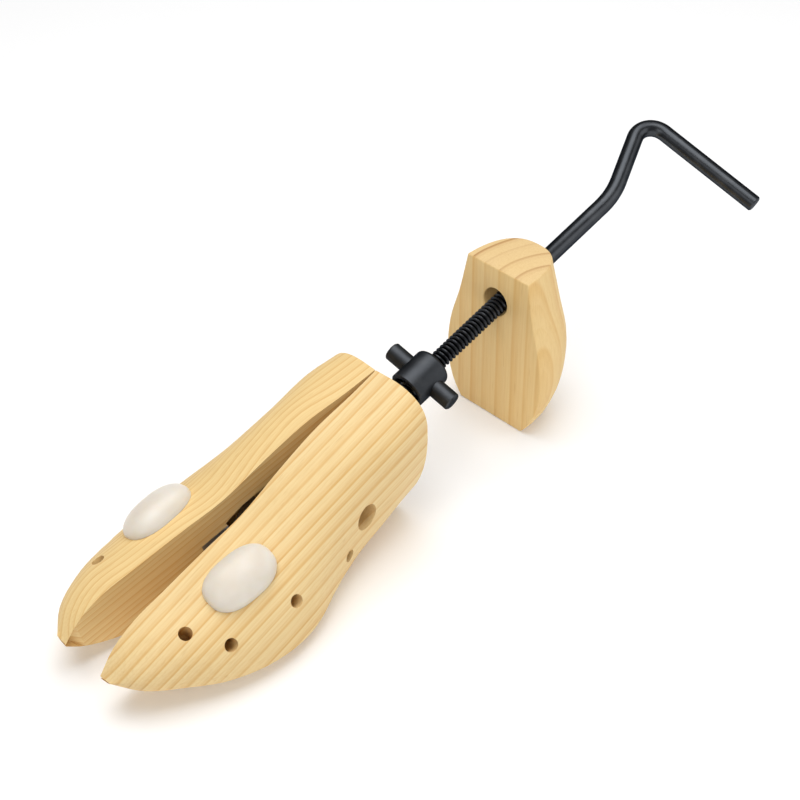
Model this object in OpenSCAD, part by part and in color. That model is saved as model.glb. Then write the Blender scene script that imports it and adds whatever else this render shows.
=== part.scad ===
// Two-way wooden shoe stretcher: a sawn forefoot last that a screw and wedge spread,
// and a heel block that a nut on the same screw pushes back.
// Frame: X runs along the shoe, toe towards -X, heel and handle towards +X. Y is across
// and Z is up from the surface that the soles rest on. X = 0 is the rear face of the last,
// and Y = 0 is the plane that the last is sawn along.

/* [Forefoot last] */
// Length of each forefoot half, from the rear face to the toe
last_len = 148; // [140:0.5:156]
// Height of the sawn top edge at the rear face
last_h = 65; // [62:0.5:69]
// Greatest width of one half, at the ball of the foot
last_w = 36.6; // [35:0.2:40]
// Height that the toe tip stands off the ground
toe_lift = 15.5; // [13:0.5:17]
// Sawn gap between the two inner faces when the last is shut
kerf = 0.3; // [0.2:0.05:0.6]
// Angle that each half stands open, as the stretcher is shown
half_open = 3.9; // [3.4:0.1:4.4]

/* [Peg holes and plugs] */
// Diameter of the peg holes
peg_hole_d = 5.2; // [4.8:0.1:6]
// Depth of the peg holes
peg_hole_depth = 12; // [10:0.5:14]
// Diametral clearance of a plug's peg in its hole
peg_clearance = 0.16; // [0.1:0.02:0.3]
// Length of a pressure plug's dome
plug_len = 31; // [28:0.5:36]
// Width of a pressure plug's dome
plug_w = 19.5; // [18:0.5:23]
// Height of the dome above its rim
plug_h = 7; // [6:0.25:9]
// Distance of the plug behind the toe end, measured forward from the rear face
plug_x = 94; // [90:0.5:98]
// Place of the plug round the section, degrees from the sawn top edge
plug_phi = 28; // [25:1:31]

/* [Spindle] */
// Outside diameter of the thread
thread_d = 8; // [7.6:0.1:8.4]
// Diameter of the plain shank and the handle
shank_d = 7.4; // [6.8:0.1:7.6]
// Slope of the spindle to the ground
spindle_tilt = 15.15; // [14.5:0.05:15.8]
// Height of the spindle's axis at the rear face of the last
spindle_z = 39.5; // [38.5:0.25:40.5]
// Distance along the spindle from the rear face to where the thread ends
thread_end = 88; // [84:1:96]
// Distance along the spindle from the rear face to the first bend
bend_at = 151.8; // [148:0.1:156]
// Angle of the first bend
bend_angle = 22; // [18:0.2:24]
// Distance along the spindle from the rear face to the grip
grip_at = 194.2; // [190:0.1:200]
// Reach of the grip past the spindle's axis
grip_reach = 47.2; // [40:0.2:60]
// Radius of the first bend, on the rod's centre line
bend_r = 42; // [30:1:50]
// Radius of the second bend, on the rod's centre line
grip_bend_r = 8.5; // [7:0.5:10]
// Turn of the handle about the spindle, as the stretcher is shown
handle_turn = 21.4; // [0:0.2:30]

/* [Spreader] */
// Distance of the trunnion nut's centre in front of the rear face, along the spindle
trunnion_at = 37; // [35:0.5:39]
// Diameter of the trunnion pins
trunnion_pin_d = 8; // [7.6:0.1:8.2]
// Diameter of the cross bores that the trunnion pins lie in
cross_bore_d = 11; // [10.8:0.1:11.6]
// Half the length over the trunnion pins
trunnion_half = 20; // [18:0.5:21]
// Length of the trunnion nut along the spindle
trunnion_len = 14; // [13:0.5:15]
// Radial running clearance of the thread in its nuts
thread_clearance = 0.05; // [0.03:0.01:0.08]
// Distance of the wear plates' rear edge in front of the rear face
plate_x = 72; // [71:0.5:74]
// Length of a wear plate
plate_len = 13; // [12:0.5:16]
// Height of a wear plate
plate_h = 18; // [16:0.5:19]
// Thickness of a wear plate
plate_t = 1.5; // [1.2:0.1:2]
// Half angle of the spreader wedge
wedge_angle = 22.7; // [22:0.1:24]
// Half height of the wedge
wedge_half_h = 7; // [6:0.25:7.25]
// Gap between the wedge and each wear plate
wedge_gap = 0.2; // [0.15:0.05:0.3]
// Depth of the routed pocket in each half
pocket_depth = 10.2; // [10:0.1:11]
// Height of the routed pocket's top above the spindle's axis
pocket_top = 12.8; // [12:0.1:13.6]

/* [Length nut] */
// Diameter of the nut's barrel
nut_d = 16.5; // [15:0.25:18]
// Length of the nut's barrel
nut_len = 17; // [15:0.5:19]
// Distance along the spindle from the rear face to the nut's front end
nut_at = 18; // [16:0.5:22]
// Length over the nut's two arms
arm_span = 34; // [30:0.5:40]
// Diameter of the nut's arms
arm_d = 8; // [7:0.25:9]
// Turn of the nut about the spindle, as the stretcher is shown
nut_turn = 19.5; // [0:0.5:30]

/* [Heel block] */
// Distance of the heel block's flat front face behind the last's rear face
heel_x = 70.6; // [68:0.2:76]
// Height of the heel block
heel_h = 77.8; // [74:0.2:82]
// Greatest half width of the heel block
heel_w = 26.4; // [24:0.2:28]
// Greatest depth of the heel block
heel_d = 33.5; // [31:0.5:36]
// Diameter of the bore that the spindle runs through
heel_bore_d = 12.5; // [12:0.1:13.2]
// Sideways offset of that bore from the spindle
heel_bore_y = 0.3; // [0:0.05:0.3]
// Offset of that bore above the spindle
heel_bore_n = 2.14; // [1.8:0.02:2.16]

/* [Hinges] */
// Distance of the hinge axis behind the rear face
hinge_x = 1; // [0.8:0.05:1.2]
// Diameter of the hinge knuckles
knuckle_d = 4.6; // [4.2:0.1:4.8]
// Diameter of the hinge pins
hinge_pin_d = 2.4; // [2:0.1:2.6]
// Thickness of the hinge leaves
leaf_t = 1.5; // [1.2:0.1:1.8]
// Height of one hinge
hinge_h = 13; // [12:0.25:13.5]
// Width of a hinge leaf
leaf_w = 12; // [11:0.25:13]
// Height of the lower hinge's centre
lower_hinge_z = 20.5; // [20:0.25:22]
// Height of the upper hinge's centre
upper_hinge_z = 53.5; // [53:0.25:54.5]

/* [Return spring] */
// Distance of the spring in front of the rear face
spring_x = 20; // [19:0.25:22]
// Height of the spring's axis
spring_z = 14; // [13.5:0.25:15]
// Outside diameter of the spring
spring_d = 6; // [5.5:0.25:6.5]
// Diameter of the spring's wire
spring_wire = 1; // [0.8:0.05:1.1]
// Depth of each spring pin behind the inner face
spring_pin_depth = 11; // [10:0.25:12]

/* [Hidden] */

// Shape of one forefoot half, station by station from the rear face to the toe. Each row
// holds the share of the last's length, the top height and the height of the widest line
// as shares of the rear height, the half width as a share of the greatest one, the rise of
// the sole as a share of the toe lift, the squareness of the section above and below the
// widest line, and how far the upper part leans in.
//   length  top    widest  width  rise  upper  lower  lean
STATIONS = [
    [0.000, 1.000, 0.680, 0.730, 0.03, 3.80, 2.00, 0.18],
    [0.101, 0.946, 0.610, 0.768, 0.00, 4.00, 2.10, 0.18],
    [0.236, 0.888, 0.440, 0.746, 0.00, 3.60, 2.75, 0.21],
    [0.372, 0.780, 0.252, 0.836, 0.00, 2.90, 2.75, 0.16],
    [0.507, 0.655, 0.132, 0.989, 0.00, 2.45, 2.50, 0.09],
    [0.642, 0.592, 0.121, 1.000, 0.02, 2.10, 2.40, 0.06],
    [0.777, 0.523, 0.158, 0.855, 0.15, 2.07, 2.44, 0.04],
    [0.878, 0.469, 0.215, 0.634, 0.38, 2.25, 2.38, 0.00],
    [0.953, 0.377, 0.246, 0.424, 0.68, 2.17, 2.48, 0.00],
    [1.000, 0.254, 0.262, 0.152, 1.00, 2.20, 2.45, 0.00]
];
// Rings along the last, and steps round each ring
last_rings = 40;
last_steps = 24;
// Open peg holes: distance in front of the rear face, and angle round the section
PEG_HOLES = [[121.5, 36.5], [110.8, 61.5], [81.7, 63.8], [48.7, 90.5]];

// Shape of the heel block from the ground up: share of its height, of its greatest half
// width and of its greatest depth
//   height  width  depth
HEEL_STATIONS = [
    [0.000, 0.670, 0.480],
    [0.100, 0.865, 0.690],
    [0.280, 1.000, 0.905],
    [0.510, 0.965, 1.000],
    [0.745, 0.780, 0.915],
    [1.000, 0.626, 0.780]
];
// Rings up the heel block, steps round each, and the squareness of its plan
heel_rings = 18;
heel_steps = 24;
heel_square = 2.5;

// Widest that each half opens, and the plain clearances
spread_limit = 6.95;
fit_gap = 0.3;
seat_gap = 0.05;
bore_over = 2;
lap = 0.3;
bend_swell = 0.06;
bend_tangent = bend_r * tan(bend_angle / 2);
peg_d = peg_hole_d - peg_clearance;
thread_bore_d = thread_d + 2 * thread_clearance;
channel_d = thread_d + 2;
cos_t = cos(spindle_tilt);
sin_t = sin(spindle_tilt);

// Trunnion nut
block_half_w = 7;
block_half_h = 8;
trunnion_x = -trunnion_at * cos_t;
trunnion_z = spindle_z - trunnion_at * sin_t;
pin_swing = trunnion_half * sin(spread_limit)
    - (hinge_x - trunnion_x) * (1 - cos(spread_limit));

// Wedge, set so that it meets the wear plates' rear edges at the half opening; it touches
// them first at its lower side, where they lie nearest to the hinges
plate_s = -plate_x / cos_t;
edge_reach = hinge_x + plate_x - wedge_half_h * sin_t;
edge_x = hinge_x - edge_reach * cos(half_open);
edge_y = edge_reach * sin(half_open) + kerf / 2;
edge_s = edge_x * cos_t + (plate_s * sin_t - wedge_half_h * cos_t) * sin_t;
wedge_tip_w = 1.2;
wedge_w = edge_y - wedge_gap;
wedge_full_w = edge_reach * sin(spread_limit) + 0.6;
wedge_tip_s = edge_s - (wedge_w - wedge_tip_w) / tan(wedge_angle);
wedge_full_s = edge_s + (wedge_full_w - wedge_w) / tan(wedge_angle);
wedge_body = 5.5;
wedge_rear_s = wedge_full_s + wedge_body;

// Spindle's journal in the wedge
journal_d = 5;
journal_len = 8.5;
shoulder_s = wedge_rear_s + fit_gap;
journal_end_s = shoulder_s - journal_len;
groove_d = 3;
retaining_pin_d = 2;
groove_half = retaining_pin_d / 2 + fit_gap;
groove_s = shoulder_s - 4.3;
retaining_pin_y = groove_d / 2 + 0.1 + retaining_pin_d / 2;

// Routed pocket
pocket_floor = block_half_h + 0.8;
pocket_front_s = plate_s - lap;
pocket_rear_s = -trunnion_at + trunnion_len / 2 + 0.8;
pocket_taper = [9, 2];

// Wear plates and their screws
plate_screw_pitch = plate_h - 8;
plate_screw = [5, 2.8, 11];

// Hinges
hinge_zs = [lower_hinge_z, upper_hinge_z];
knuckle_bore_d = hinge_pin_d + 2 * seat_gap;
groove_r = knuckle_d / 2 + 0.6;
knuckle_gap = 0.1;
leaf_screw = [4.2, 2.2, 11];
leaf_screw_y = groove_r + leaf_w / 2;
leaf_screw_pitch = 7;

// Return spring
spring_pin_d = 2;
spring_pin_bottom = 5;
spring_pin_top = spring_z + 4;
spring_pin_y = spring_pin_depth + kerf / 2;
spring_bore_d = spring_d + 2.6;
spring_reach = spring_x + hinge_x;
spring_axis_x = hinge_x - spring_reach * cos(half_open) + spring_pin_y * sin(half_open);
spring_end_y = spring_reach * sin(half_open) + spring_pin_y * cos(half_open);
eye_r = spring_pin_d / 2 + fit_gap + spring_wire / 2;
spring_bore_depth = spring_pin_y + eye_r + spring_wire / 2 + 0.5;
coil_half = spring_end_y - eye_r - spring_wire;
coil_turns = floor(2 * coil_half / (spring_wire * 1.5));
coil_r = (spring_d - spring_wire) / 2;

arm_seat_r = nut_d / 2 - 3;

$fn = 64;

// Puts the frame's origin on the ground under the middle of the heel block's base
module placed() {
    translate([-heel_x - heel_d * HEEL_STATIONS[0][2] / 2, 0, 0])
        children();
}

// Slope of column k at station i of table t
function slope(t, i, k) =
    let (a = max(i - 1, 0), b = min(i + 1, len(t) - 1))
    (t[b][k] - t[a][k]) / (t[b][0] - t[a][0]);

// Index of the station of table t that lies at or before share s
function span(t, s, i = 0) = i >= len(t) - 2 || s <= t[i + 1][0] ? i : span(t, s, i + 1);

// Column k of table t at share s, on a smooth curve through the stations
function blend(t, s, k) =
    let (i = span(t, s), h = t[i + 1][0] - t[i][0], u = (s - t[i][0]) / h)
    (2 * pow(u, 3) - 3 * u * u + 1) * t[i][k]
    + (pow(u, 3) - 2 * u * u + u) * h * slope(t, i, k)
    + (3 * u * u - 2 * pow(u, 3)) * t[i + 1][k]
    + (pow(u, 3) - u * u) * h * slope(t, i + 1, k);

// Point of the last's outer skin, d in front of the rear face and phi round the section
// from the sawn top edge, in the frame of the right half when it is shut
function last_point(d, phi) =
    let (
        s = d / last_len,
        top = last_h * blend(STATIONS, s, 1),
        wide_z = last_h * blend(STATIONS, s, 2),
        wide = last_w * blend(STATIONS, s, 3),
        sole = toe_lift * blend(STATIONS, s, 4),
        upper = phi <= 90,
        power = 2 / blend(STATIONS, s, upper ? 5 : 6),
        lean = upper ? blend(STATIONS, s, 7) * pow(cos(phi), 2) : 0,
        across = pow(sin(phi), power) * (1 - lean),
        rise = pow(abs(cos(phi)), power)
    )
    [
        -d,
        kerf / 2 + wide * across,
        upper ? wide_z + (top - wide_z) * rise : wide_z - (wide_z - sole) * rise
    ];

// Directions on the skin at the same place: towards the toe, round the section and outwards
function last_axes(d, phi) =
    let (
        along = last_point(d + 1, phi) - last_point(d - 1, phi),
        round = last_point(d, phi + 2) - last_point(d, phi - 2),
        out = cross(round, along),
        n = out / norm(out),
        t = along / norm(along)
    )
    [t, cross(n, t), n];

// Places a child on the last's skin, its z axis pointing out of the wood
module on_skin(d, phi) {
    p = last_point(d, phi);
    a = last_axes(d, phi);
    multmatrix([
        [a[0][0], a[1][0], a[2][0], p[0]],
        [a[0][1], a[1][1], a[2][1], p[1]],
        [a[0][2], a[1][2], a[2][2], p[2]],
        [0, 0, 0, 1]
    ])
        children();
}

// Turns a piece of a shut half out to where the half stands; side is 1 right, -1 left
module half_frame(side) {
    translate([hinge_x, 0, 0])
        rotate([0, 0, -side * half_open])
            translate([-hinge_x, 0, 0])
                if (side < 0) {
                    mirror([0, 1, 0]) children();
                } else {
                    children();
                }
}

// Frame of the spindle: x along its axis from the rear face towards the handle
module spindle_frame() {
    translate([0, 0, spindle_z])
        rotate([0, -spindle_tilt, 0])
            children();
}

// Round bar along x
module bar(d, from, to) {
    translate([from, 0, 0])
        rotate([0, 90, 0])
            cylinder(d = d, h = to - from);
}

// Countersunk wood screw with its head's face at z = 0, pointing down; size is head
// diameter, shank diameter and length
module wood_screw(size) {
    head_h = (size[0] - size[1]) / 2;
    difference() {
        rotate_extrude()
            polygon([
                [0, 0], [size[0] / 2, 0], [size[1] / 2, -head_h],
                [size[1] / 2, -size[2] + size[1]], [0, -size[2]]
            ]);
        cube([size[0] * 0.8, 0.6, 1.2], center = true);
    }
}

// Hole that a wood screw fills
module screw_hole(size) {
    head_h = (size[0] - size[1]) / 2;
    rotate_extrude()
        polygon([
            [0, 1], [size[0] / 2 + seat_gap, 1], [size[0] / 2 + seat_gap, 0],
            [size[1] / 2 + seat_gap, -head_h], [size[1] / 2 + seat_gap, -size[2] - 0.5],
            [0, -size[2] - 0.5]
        ]);
}

// Solid form of one half, right side and shut
module last_form() {
    row = last_steps + 1;
    points = [
        for (i = [0:last_rings])
            let (d = last_len * (1 - pow(1 - i / last_rings, 1.3)))
            for (j = [0:last_steps])
                last_point(d, 180 * j / last_steps)
    ];
    skin = [
        for (i = [0:last_rings - 1])
            for (j = [0:last_steps - 1])
                let (a = i * row + j, b = a + row)
                each [[a, b, b + 1], [a, b + 1, a + 1]]
    ];
    rear = [for (j = [0:last_steps]) j];
    toe = [for (j = [last_steps:-1:0]) last_rings * row + j];
    sawn = [
        for (i = [last_rings:-1:0]) i * row,
        for (i = [0:last_rings]) i * row + last_steps
    ];
    polyhedron(points, concat(skin, [rear], [toe], [sawn]), convexity = 4);
}

// Pocket that is routed along the spindle's line for the trunnion nut and the wedge, its
// top lower towards the toe
module routed_pocket() {
    spindle_frame()
        translate([0, pocket_depth, 0])
            rotate([90, 0, 0])
                linear_extrude(pocket_depth + 1)
                    polygon([
                        [pocket_front_s, -pocket_floor], [pocket_rear_s, -pocket_floor],
                        [pocket_rear_s, pocket_top],
                        [pocket_front_s + pocket_taper[0], pocket_top],
                        [pocket_front_s, pocket_top - pocket_taper[1]]
                    ]);
}

// Frame of a wear plate: its middle on the inner face of a shut half, in line with the
// spindle
module plate_frame() {
    spindle_frame()
        translate([plate_s - plate_len / 2, kerf / 2, 0])
            children();
}

module wear_plate_seat() {
    plate_frame()
        cube([plate_len, 2 * plate_t, plate_h], center = true);
}

module plate_screw_places() {
    plate_frame()
        for (k = [-1, 1])
            translate([0, 0, k * plate_screw_pitch / 2])
                rotate([90, 0, 0])
                    children();
}

module leaf_screw_places() {
    for (z = hinge_zs)
        for (k = [-1, 1])
            translate([0, leaf_screw_y, z + k * leaf_screw_pitch / 2])
                rotate([0, 90, 0])
                    children();
}

module hinge_seat(z) {
    translate([-leaf_t, -1, z - hinge_h / 2 - seat_gap])
        cube([leaf_t + 1, 1 + groove_r + leaf_w + seat_gap, hinge_h + 2 * seat_gap]);
    translate([hinge_x, 0, z - hinge_h / 2 - 0.4])
        cylinder(r = groove_r, h = hinge_h + 0.8);
}

module last_half(side) {
    color("burlywood")
        half_frame(side)
            difference() {
                last_form();
                spindle_frame()
                    bar(channel_d, pocket_rear_s - 8, 8);
                routed_pocket();
                translate([trunnion_x - pin_swing / 2, -1, trunnion_z])
                    rotate([-90, 0, 0])
                        cylinder(d = cross_bore_d, h = last_w + bore_over);
                wear_plate_seat();
                plate_screw_places() screw_hole(plate_screw);
                for (z = hinge_zs)
                    hinge_seat(z);
                leaf_screw_places() screw_hole(leaf_screw);
                translate([-spring_x, -1, spring_z])
                    rotate([-90, 0, 0])
                        cylinder(d = spring_bore_d, h = 1 + spring_bore_depth);
                translate([-spring_x, spring_pin_y, -1])
                    cylinder(d = spring_pin_d + 2 * seat_gap, h = spring_pin_top + 1.5);
                for (p = concat(PEG_HOLES, [[plug_x, plug_phi]]))
                    on_skin(p[0], p[1])
                        translate([0, 0, -peg_hole_depth])
                            cylinder(d = peg_hole_d, h = peg_hole_depth + 4);
            }
}

module wear_plate(side) {
    color("lightgray")
        half_frame(side)
            difference() {
                plate_frame()
                    translate([-plate_len / 2, 0, -plate_h / 2])
                        cube([plate_len, plate_t, plate_h]);
                plate_screw_places() screw_hole(plate_screw);
            }
}

module plate_screws(side) {
    color("silver")
        half_frame(side)
            plate_screw_places() wood_screw(plate_screw);
}

// Leaf of one hinge; the left half carries the two outer knuckles, the right the middle one
module hinge_leaf(side, z) {
    third = hinge_h / 3;
    knuckles = side < 0
        ? [[-hinge_h / 2, third - knuckle_gap], [third / 2 + knuckle_gap, third - knuckle_gap]]
        : [[-third / 2 + knuckle_gap, third - 2 * knuckle_gap]];
    translate([0, 0, z])
        difference() {
            union() {
                translate([-leaf_t, groove_r, -hinge_h / 2])
                    cube([leaf_t, leaf_w, hinge_h]);
                for (k = knuckles) {
                    translate([-leaf_t, 0, k[0]])
                        cube([leaf_t, groove_r + 1, k[1]]);
                    translate([hinge_x, 0, k[0]])
                        cylinder(d = knuckle_d, h = k[1]);
                }
            }
            translate([hinge_x, 0, -hinge_h])
                cylinder(d = knuckle_bore_d, h = 2 * hinge_h);
        }
}

module hinge_leaves(side) {
    color("gainsboro")
        half_frame(side)
            difference() {
                for (z = hinge_zs)
                    hinge_leaf(side, z);
                leaf_screw_places() screw_hole(leaf_screw);
            }
}

module hinge_screws(side) {
    color("silver")
        half_frame(side)
            leaf_screw_places() wood_screw(leaf_screw);
}

module hinge_pins() {
    color("silver")
        for (z = hinge_zs)
            translate([hinge_x, 0, z - hinge_h / 2])
                cylinder(d = hinge_pin_d, h = hinge_h);
}

// Threaded block between the halves, with a round pin on each side
module trunnion_nut() {
    color("darkgray")
        difference() {
            spindle_frame()
                translate([-trunnion_at, 0, 0])
                    union() {
                        cube([trunnion_len, 2 * block_half_w, 2 * block_half_h], center = true);
                        rotate([90, 0, 0])
                            cylinder(d = trunnion_pin_d, h = 2 * trunnion_half, center = true);
                    }
            spindle_frame()
                bar(thread_bore_d, -trunnion_at - trunnion_len, -trunnion_at + trunnion_len);
        }
}

module spreader_wedge() {
    color("darkgray")
        difference() {
            spindle_frame()
                translate([0, 0, -wedge_half_h])
                    linear_extrude(2 * wedge_half_h)
                        polygon([
                            [wedge_tip_s, -wedge_tip_w], [wedge_full_s, -wedge_full_w],
                            [wedge_rear_s, -wedge_full_w], [wedge_rear_s, wedge_full_w],
                            [wedge_full_s, wedge_full_w], [wedge_tip_s, wedge_tip_w]
                        ]);
            spindle_frame()
                bar(journal_d + 2 * seat_gap, journal_end_s - fit_gap, 0);
            retaining_pin_places()
                cylinder(
                    d = retaining_pin_d + seat_gap,
                    h = 2 * wedge_half_h + bore_over, center = true
                );
        }
}

module retaining_pin_places() {
    spindle_frame()
        for (k = [-1, 1])
            translate([groove_s, k * retaining_pin_y, 0])
                children();
}

// Two pins through the wedge, each lying in the groove of the spindle's journal
module wedge_retaining_pins() {
    color("silver")
        retaining_pin_places()
            cylinder(d = retaining_pin_d, h = 2 * wedge_half_h, center = true);
}

module spring_pin(side) {
    color("silver")
        half_frame(side)
            translate([-spring_x, spring_pin_y, spring_pin_bottom])
                cylinder(d = spring_pin_d, h = spring_pin_top - spring_pin_bottom);
}

// Tension spring across the halves, with an eye round each spring pin
module return_spring() {
    ring_steps = 8;
    sides = 6;
    rings = coil_turns * ring_steps;
    echo(least_gap_between_turns = 2 * coil_half / coil_turns - spring_wire);
    points = [
        for (i = [0:rings])
            let (turn = 360 * i / ring_steps, y = -coil_half + 2 * coil_half * i / rings)
            for (j = [0:sides - 1])
                let (a = 360 * j / sides, r = coil_r + spring_wire / 2 * cos(a))
                [r * cos(turn), y + spring_wire / 2 * sin(a), r * sin(turn)]
    ];
    skin = [
        for (i = [0:rings - 1])
            for (j = [0:sides - 1])
                let (a = i * sides + j, b = i * sides + (j + 1) % sides)
                each [[a, a + sides, b + sides], [a, b + sides, b]]
    ];
    ends = [
        [for (j = [0:sides - 1]) j],
        [for (j = [sides - 1:-1:0]) rings * sides + j]
    ];
    color("silver")
        translate([spring_axis_x, 0, spring_z]) {
            polyhedron(points, concat(skin, ends), convexity = 6);
            for (k = [-1, 1]) {
                translate([0, k * spring_end_y, 0])
                    rotate_extrude()
                        translate([eye_r, 0])
                            circle(d = spring_wire, $fn = 24);
                translate([0, k * (coil_half + spring_wire * 0.2), 0])
                    rotate([0, 90, 0])
                        cylinder(d = spring_wire * 1.2, h = 2 * coil_r, center = true);
            }
        }
}

// Bent bar from the end of the straight spindle to the grip, in the plane z = 0, its
// straight axis along x; the bends are a hair thicker, so that the bars run into them
module handle_bend() {
    grip_turn = 90 + bend_angle;
    grip_tangent = grip_bend_r * tan(grip_turn / 2);
    slant = (grip_at - bend_at) / cos(bend_angle);
    corner_y = (grip_at - bend_at) * tan(bend_angle);
    end_bevel = 0.6;
    translate([bend_at - bend_tangent, bend_r, 0])
        rotate([0, 0, -90])
            rotate_extrude(angle = bend_angle)
                translate([bend_r, 0])
                    circle(d = shank_d + bend_swell);
    translate([bend_at, 0, 0])
        rotate([0, 0, bend_angle]) {
            bar(shank_d, bend_tangent - lap, slant - grip_tangent + lap);
            translate([slant - grip_tangent, -grip_bend_r, 0])
                rotate([0, 0, 90 - grip_turn])
                    rotate_extrude(angle = grip_turn)
                        translate([grip_bend_r, 0])
                            circle(d = shank_d + bend_swell);
        }
    translate([grip_at, corner_y - grip_tangent + lap, 0])
        rotate([90, 0, 0])
            turned([
                [0, 0], [shank_d / 2, 0],
                [shank_d / 2, grip_reach + corner_y - grip_tangent + lap - end_bevel],
                [shank_d / 2 - end_bevel, grip_reach + corner_y - grip_tangent + lap],
                [0, grip_reach + corner_y - grip_tangent + lap]
            ]);
}

// Solid turned about z from a list of radius and height
module turned(profile) {
    rotate_extrude()
        polygon(profile);
}

// One steel rod: journal, thread, plain shank and bent handle
module spindle() {
    bevel = 0.6;
    color([0.08, 0.08, 0.09])
        spindle_frame() {
            rotate([0, 90, 0])
                turned([
                    [0, journal_end_s], [journal_d / 2 - 0.4, journal_end_s],
                    [journal_d / 2, journal_end_s + 0.4],
                    [journal_d / 2, groove_s - groove_half],
                    [groove_d / 2, groove_s - groove_half],
                    [groove_d / 2, groove_s + groove_half],
                    [journal_d / 2, groove_s + groove_half],
                    [journal_d / 2, shoulder_s], [thread_d / 2, shoulder_s],
                    [thread_d / 2, thread_end - bevel], [shank_d / 2, thread_end],
                    [shank_d / 2, bend_at - bend_tangent + lap],
                    [0, bend_at - bend_tangent + lap]
                ]);
            rotate([handle_turn, 0, 0])
                handle_bend();
        }
}

// Barrel that runs on the thread, with a deep counterbore in its front end
module length_nut() {
    rim = 1.6;
    edge = 2;
    counterbore = 4;
    r = nut_d / 2;
    color([0.1, 0.1, 0.11])
        spindle_frame()
            translate([nut_at, 0, 0])
                difference() {
                    rotate([0, 90, 0])
                        rotate_extrude()
                            polygon(concat(
                                [[thread_bore_d / 2, counterbore], [r - rim, counterbore]],
                                [[r - rim, 0], [r - 0.5, 0], [r, 0.5]],
                                [for (a = [0:15:90])
                                    [r - edge + edge * cos(a), nut_len - edge + edge * sin(a)]],
                                [[thread_bore_d / 2, nut_len]]
                            ));
                    rotate([nut_turn, 0, 0])
                        translate([nut_len * 0.55, 0, 0])
                            for (k = [-1, 1])
                                rotate([-90 * k, 0, 0])
                                    translate([0, 0, arm_seat_r])
                                        cylinder(d = arm_d + seat_gap, h = r);
                }
}

// Two short round arms set in the sides of the barrel
module length_nut_arms() {
    color([0.12, 0.12, 0.13])
        spindle_frame()
            translate([nut_at + nut_len * 0.55, 0, 0])
                rotate([nut_turn, 0, 0])
                    for (k = [-1, 1])
                        rotate([-90 * k, 0, 0])
                            translate([0, 0, arm_seat_r])
                                rotate_extrude()
                                    polygon([
                                        [0, 0], [arm_d / 2, 0],
                                        [arm_d / 2, arm_span / 2 - arm_seat_r - 0.6],
                                        [arm_d / 2 - 0.6, arm_span / 2 - arm_seat_r],
                                        [0, arm_span / 2 - arm_seat_r]
                                    ]);
}

// Point of the heel block's skin at a share of its height, psi round its plan
function heel_point(s, psi) =
    let (
        wide = heel_w * blend(HEEL_STATIONS, s, 1),
        deep = heel_d * blend(HEEL_STATIONS, s, 2),
        power = 2 / heel_square
    )
    [
        heel_x + deep * pow(abs(cos(psi)), power),
        wide * sign(psi) * pow(abs(sin(psi)), power),
        s * heel_h
    ];

module heel_block() {
    row = heel_steps + 1;
    points = [
        for (i = [0:heel_rings])
            for (j = [0:heel_steps])
                heel_point(i / heel_rings, -90 + 180 * j / heel_steps)
    ];
    skin = [
        for (i = [0:heel_rings - 1])
            for (j = [0:heel_steps - 1])
                let (a = i * row + j, b = a + row)
                each [[a, b, b + 1], [a, b + 1, a + 1]]
    ];
    bottom = [for (j = [0:heel_steps]) j];
    top = [for (j = [heel_steps:-1:0]) heel_rings * row + j];
    front = [
        for (i = [heel_rings:-1:0]) i * row,
        for (i = [0:heel_rings]) i * row + heel_steps
    ];
    color("burlywood")
        difference() {
            polyhedron(points, concat(skin, [bottom], [top], [front]), convexity = 4);
            spindle_frame()
                translate([0, heel_bore_y, heel_bore_n])
                    bar(heel_bore_d, heel_x / 2, heel_x + 3 * heel_d);
        }
}

// Half of the dome's cross section, from its middle to its rim
function dome_profile(r, h) = [
    for (a = [0:9:90]) [r * pow(sin(a), 0.85), h * pow(cos(a), 0.85)]
];

// Oval pressure plug: a domed head that lies on the wood, and a round peg in its hole
module pressure_plug(side) {
    skirt = 2;
    r = plug_w / 2;
    mid = plug_len - plug_w;
    seat_r = 40;
    half_profile = concat(dome_profile(r, plug_h), [[r, -skirt], [0, -skirt]]);
    color("ivory")
        half_frame(side)
            on_skin(plug_x, plug_phi) {
                difference() {
                    union() {
                        for (k = [-1, 1])
                            translate([k * mid / 2, 0, 0])
                                rotate([0, 0, -90 * k])
                                    rotate_extrude(angle = 180)
                                        polygon(half_profile);
                        rotate([90, 0, 90])
                            linear_extrude(mid, center = true)
                                union() {
                                    polygon(half_profile);
                                    mirror([1, 0]) polygon(half_profile);
                                }
                    }
                    translate([-plug_len, 0, fit_gap - seat_r])
                        rotate([0, 90, 0])
                            cylinder(r = seat_r, h = 2 * plug_len, $fn = 128);
                }
                translate([0, 0, 1 - peg_hole_depth])
                    cylinder(d = peg_d, h = peg_hole_depth);
            }
}

placed() last_half(-1);  // left_last_half
placed() last_half(1);  // right_last_half
placed() wear_plate(-1);  // left_wear_plate
placed() wear_plate(1);  // right_wear_plate
placed() plate_screws(-1);  // left_plate_screws
placed() plate_screws(1);  // right_plate_screws
placed() hinge_leaves(-1);  // left_hinge_leaves
placed() hinge_leaves(1);  // right_hinge_leaves
placed() hinge_screws(-1);  // left_hinge_screws
placed() hinge_screws(1);  // right_hinge_screws
placed() hinge_pins();
placed() trunnion_nut();
placed() spreader_wedge();
placed() wedge_retaining_pins();
placed() return_spring();
placed() spring_pin(-1);  // left_spring_pin
placed() spring_pin(1);  // right_spring_pin
placed() spindle();
placed() length_nut();
placed() length_nut_arms();
placed() heel_block();
placed() pressure_plug(-1);  // left_pressure_plug
placed() pressure_plug(1);  // right_pressure_plug
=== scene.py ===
"""Two-way wooden shoe stretcher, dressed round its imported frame.

Every length is in metres. The frame's origin lies on the ground under the heel block,
x runs from the toe to the handle, and y to the wearer's right.
"""

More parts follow.
